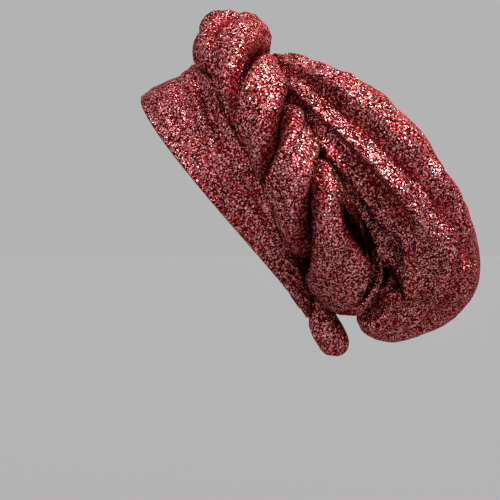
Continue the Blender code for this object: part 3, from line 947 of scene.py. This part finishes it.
def build_tail(cloth, material):
    """The short stuffed end that hangs at the nape."""
    rings, sides = cloth.tail_rings, cloth.tail_sides
    route = smooth_row(np.array(TAIL), np.linspace(0, len(TAIL) - 1, rings))
    centre = route[:, :3]
    ahead = np.gradient(centre, axis=0)
    ahead /= np.linalg.norm(ahead, axis=1)[:, None]
    across = np.cross(ahead, [1.0, 0.0, 0.0])
    across /= np.linalg.norm(across, axis=1)[:, None]
    other = np.cross(ahead, across)
    turn = np.linspace(0, 2 * math.pi, sides + 1)[None, :-1]
    share = np.linspace(0, 1, rings)[:, None]
    end = np.clip((share - TAIL_CLOSING) / (1 - TAIL_CLOSING), 0, 1)
    closing = np.sqrt(np.clip(1 - end**2, 0.0, 1))
    samples = grid_samples(np.cos(turn) * TAIL_ROUND, np.sin(turn) * TAIL_ROUND, share * TAIL_ALONG)
    radius = route[:, 3][:, None] * closing
    swell = creased_noise(samples, 51).reshape(rings, sides) * TAIL_WRINKLE + 1.0
    radius = np.maximum(radius * swell, TAIL_TIP)
    ring = np.cos(turn)[..., None] * across[:, None] + np.sin(turn)[..., None] * other[:, None]
    points = centre[:, None] + ring * radius[..., None]
    faces = []
    for i in range(rings - 1):
        for k in range(sides):
            m = (k + 1) % sides
            faces.append((i * sides + k, i * sides + m, (i + 1) * sides + m, (i + 1) * sides + k))
    faces.append(tuple(reversed(range(sides))))
    faces.append(tuple((rings - 1) * sides + k for k in range(sides)))
    # Painted shade where the tail comes out of the crevice and in the dents of its wrinkles
    crease = np.clip(1 - share * TAIL_SHADE_FADE, 0, TAIL_ROOT_SHADE) + (1 - swell) * TAIL_DENT_SHADE
    obj = make_piece("nape_tail_cloth", points, faces, crease, material)
    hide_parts("nape_tail")
    return obj


def add_sun(name, direction, strength, softness, colour):
    """Even light from far away, with soft shadows. The direction points from the cap to the light."""
    data = bpy.data.lights.new(name, "SUN")
    data.energy = strength
    data.angle = math.radians(softness)
    data.color = colour
    light = bpy.data.objects.new(name, data)
    bpy.context.scene.collection.objects.link(light)
    light.rotation_euler = Vector(direction).to_track_quat("Z", "Y").to_euler()
    return light


FLOOR_REACH = 60.0  # Metres to each side
FLOOR_COLOUR = (0.262, 0.262, 0.266, 1)
FLOOR_ROUGHNESS = 0.95
FLOOR_SHINE = 0.1
SENSOR_WIDTH = 36.0
CAMERA_ASIDE = 0.0182
CAMERA_HEIGHT = -0.0319

LIGHTS = (
    # name, direction from the cap, share of the key light, softness_deg, colour
    ("key_light", (0.60, 0.52, 1.0), 1.0, 18, (1.0, 0.97, 0.94)),
    ("fill_light", (0.9, -0.7, 0.25), 0.13, 50, (0.95, 0.97, 1.0)),
    ("back_light", (-0.9, 0.5, 0.7), 0.18, 45, (1.0, 0.98, 0.96)),
)

ROOM_COLOURS = (
    # height, red, green, blue
    (0.00, 0.45, 0.45, 0.455),
    (0.30, 0.45, 0.45, 0.455),
    (0.75, 0.72, 0.72, 0.73),
    (1.00, 0.85, 0.85, 0.86),
)


def build_floor(height):
    """A plain matt floor, wide enough to reach the horizon."""
    data = bpy.data.meshes.new("floor")
    sides = ((-1, -1), (1, -1), (1, 1), (-1, 1))
    corners = [(x * FLOOR_REACH, y * FLOOR_REACH, 0) for x, y in sides]
    data.from_pydata(corners, [], [(0, 1, 2, 3)])
    floor = bpy.data.objects.new("floor", data)
    bpy.context.scene.collection.objects.link(floor)
    floor.location = (0, 0, height)
    paint = bpy.data.materials.new("floor_paint")
    paint.use_nodes = True
    shader = paint.node_tree.nodes["Principled BSDF"]
    shader.inputs["Base Color"].default_value = FLOOR_COLOUR
    shader.inputs["Roughness"].default_value = FLOOR_ROUGHNESS
    shader.inputs["Specular IOR Level"].default_value = FLOOR_SHINE
    data.materials.append(paint)
    return floor


def build_room(brightness):
    """Plain surroundings that grow lighter towards the top."""
    world = bpy.data.worlds.new("plain_room")
    world.use_nodes = True
    tree = world.node_tree
    surroundings = tree.nodes["Background"]
    toward = add_node(tree, "ShaderNodeTexCoord", "Direction")
    parts = add_node(tree, "ShaderNodeSeparateXYZ", "Height of the direction")
    link(tree, toward.outputs["Generated"], parts.inputs[0])
    sky = add_ramp(tree, "Soft light from above", parts.outputs["Z"], ROOM_COLOURS)
    link(tree, sky, surroundings.inputs[0])
    surroundings.inputs[1].default_value = brightness
    bpy.context.scene.world = world


def build_camera(distance, half_view):
    """The camera, level with the cap at its left side."""
    data = bpy.data.cameras.new("photo_camera")
    data.sensor_width = SENSOR_WIDTH
    data.lens = SENSOR_WIDTH / 2 * distance / half_view
    data.clip_start = 0.01
    camera = bpy.data.objects.new("photo_camera", data)
    bpy.context.scene.collection.objects.link(camera)
    camera.location = (distance, CAMERA_ASIDE, CAMERA_HEIGHT)
    camera.rotation_euler = (math.radians(90), 0, math.radians(90))
    bpy.context.scene.camera = camera


def build_stage(stage):
    """Floor, plain surroundings, soft lights and the camera."""
    floor = build_floor(stage.floor_height)
    build_room(stage.room_light)
    key, fill, back = [
        add_sun(name, direction, stage.key_light * share, softness, colour)
        for name, direction, share, softness, colour in LIGHTS
    ]
    build_camera(stage.camera_distance, stage.half_view)
    bpy.context.scene.view_settings.view_transform = "Standard"


class TurbanClothSettings(bpy.types.PropertyGroup):
    """How finely the cloth is built and how deep its wrinkles are."""

    wrinkle_depth: FloatProperty(
        name="Wrinkle Depth",
        description="Height of the usual wrinkle in the cloth",
        default=0.001,
        min=0.0,
        max=0.004,
        precision=4,
        unit="LENGTH",
    )
    band_steps: IntProperty(name="Band Steps", description="Points round the band", default=340, min=60)
    band_rows: IntProperty(name="Band Rows", description="Points across the band", default=52, min=10)
    strand_steps: IntProperty(name="Strand Steps", description="Rings along a strand", default=520, min=80)
    strand_sides: IntProperty(name="Strand Sides", description="Points round a strand", default=44, min=10)
    bag_rows: IntProperty(name="Bag Rows", description="Points down the bag", default=170, min=30)
    bag_columns: IntProperty(name="Bag Columns", description="Spaces across the bag", default=240, min=40)
    tail_rings: IntProperty(name="Tail Rings", description="Rings along the tail", default=60, min=10)
    tail_sides: IntProperty(name="Tail Sides", description="Points round the tail", default=44, min=8)


class TurbanGlitterSettings(bpy.types.PropertyGroup):
    """The glitter on the cloth."""

    flake_size: FloatProperty(
        name="Flake Size",
        description="Usual width of one large flake",
        default=0.00088,
        min=0.0003,
        precision=4,
        unit="LENGTH",
    )
    flake_lean: FloatProperty(
        name="Flake Lean", description="How far the flakes lean out of the cloth", default=0.75, min=0.0
    )
    metal: FloatProperty(
        name="Metal",
        description="Share of metallic reflection",
        default=0.85,
        min=0.0,
        max=1.0,
        subtype="FACTOR",
    )
    roughness: FloatProperty(
        name="Roughness",
        description="Roughness of one flake",
        default=0.24,
        min=0.0,
        max=1.0,
        subtype="FACTOR",
    )


class TurbanStageSettings(bpy.types.PropertyGroup):
    """Camera, floor and lights."""

    camera_distance: FloatProperty(
        name="Camera Distance",
        description="From the middle plane of the cap",
        default=1.0,
        min=0.3,
        unit="LENGTH",
    )
    half_view: FloatProperty(
        name="Half View",
        description="Half the width of the view at the cap",
        default=0.19,
        min=0.05,
        unit="LENGTH",
    )
    floor_height: FloatProperty(
        name="Floor Height", description="Height of the floor", default=-0.30, unit="LENGTH"
    )
    key_light: FloatProperty(
        name="Key Light", description="Strength of the main light", default=3.6, min=0.0
    )
    room_light: FloatProperty(
        name="Room Light", description="Brightness of the plain surroundings", default=1.0, min=0.0
    )


def material_for(context):
    return make_glitter_cloth(context.scene.turban_glitter)


class TURBAN_OT_band(bpy.types.Operator):
    """Build the fitted front band."""

    bl_idname = "turban.band"
    bl_label = "Front Band"

    def execute(self, context):
        build_band(context.scene.turban_cloth, material_for(context))
        return {"FINISHED"}


class TURBAN_OT_twist(bpy.types.Operator):
    """Build the two stuffed strands of the twist."""

    bl_idname = "turban.twist"
    bl_label = "Twist"

    def execute(self, context):
        for which in (0, 1):
            build_strand(which, context.scene.turban_cloth, material_for(context))
        return {"FINISHED"}


class TURBAN_OT_bag(bpy.types.Operator):
    """Build the gathered bag behind the twist."""

    bl_idname = "turban.bag"
    bl_label = "Crown Bag"

    def execute(self, context):
        build_bag(context.scene.turban_cloth, material_for(context))
        return {"FINISHED"}


class TURBAN_OT_tail(bpy.types.Operator):
    """Build the short tail at the nape."""

    bl_idname = "turban.tail"
    bl_label = "Nape Tail"

    def execute(self, context):
        build_tail(context.scene.turban_cloth, material_for(context))
        return {"FINISHED"}


class TURBAN_OT_stage(bpy.types.Operator):
    """Add the floor, the lights and the camera."""

    bl_idname = "turban.stage"
    bl_label = "Stage"

    def execute(self, context):
        build_stage(context.scene.turban_stage)
        return {"FINISHED"}


class TURBAN_PT_panel(bpy.types.Panel):
    """Sizes and buttons for the turban cap."""

    bl_idname = "TURBAN_PT_panel"
    bl_label = "Turban Cap"
    bl_space_type = "VIEW_3D"
    bl_region_type = "UI"
    bl_category = "Turban Cap"

    def draw(self, context):
        layout = self.layout
        for group in (context.scene.turban_cloth, context.scene.turban_glitter, context.scene.turban_stage):
            box = layout.box()
            for name in group.__annotations__:
                box.prop(group, name)
        for operator in ("turban.band", "turban.twist", "turban.bag", "turban.tail", "turban.stage"):
            layout.operator(operator)


CLASSES = (
    TurbanClothSettings,
    TurbanGlitterSettings,
    TurbanStageSettings,
    TURBAN_OT_band,
    TURBAN_OT_twist,
    TURBAN_OT_bag,
    TURBAN_OT_tail,
    TURBAN_OT_stage,
    TURBAN_PT_panel,
)


def register():
    for cls in CLASSES:
        bpy.utils.register_class(cls)
    bpy.types.Scene.turban_cloth = PointerProperty(type=TurbanClothSettings)
    bpy.types.Scene.turban_glitter = PointerProperty(type=TurbanGlitterSettings)
    bpy.types.Scene.turban_stage = PointerProperty(type=TurbanStageSettings)


def unregister():
    del bpy.types.Scene.turban_cloth
    del bpy.types.Scene.turban_glitter
    del bpy.types.Scene.turban_stage
    for cls in reversed(CLASSES):
        bpy.utils.unregister_class(cls)


def main():
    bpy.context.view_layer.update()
    register()
    bpy.ops.turban.band()
    bpy.ops.turban.twist()
    bpy.ops.turban.bag()
    bpy.ops.turban.tail()
    bpy.ops.turban.stage()


if __name__ == "__main__":
    main()
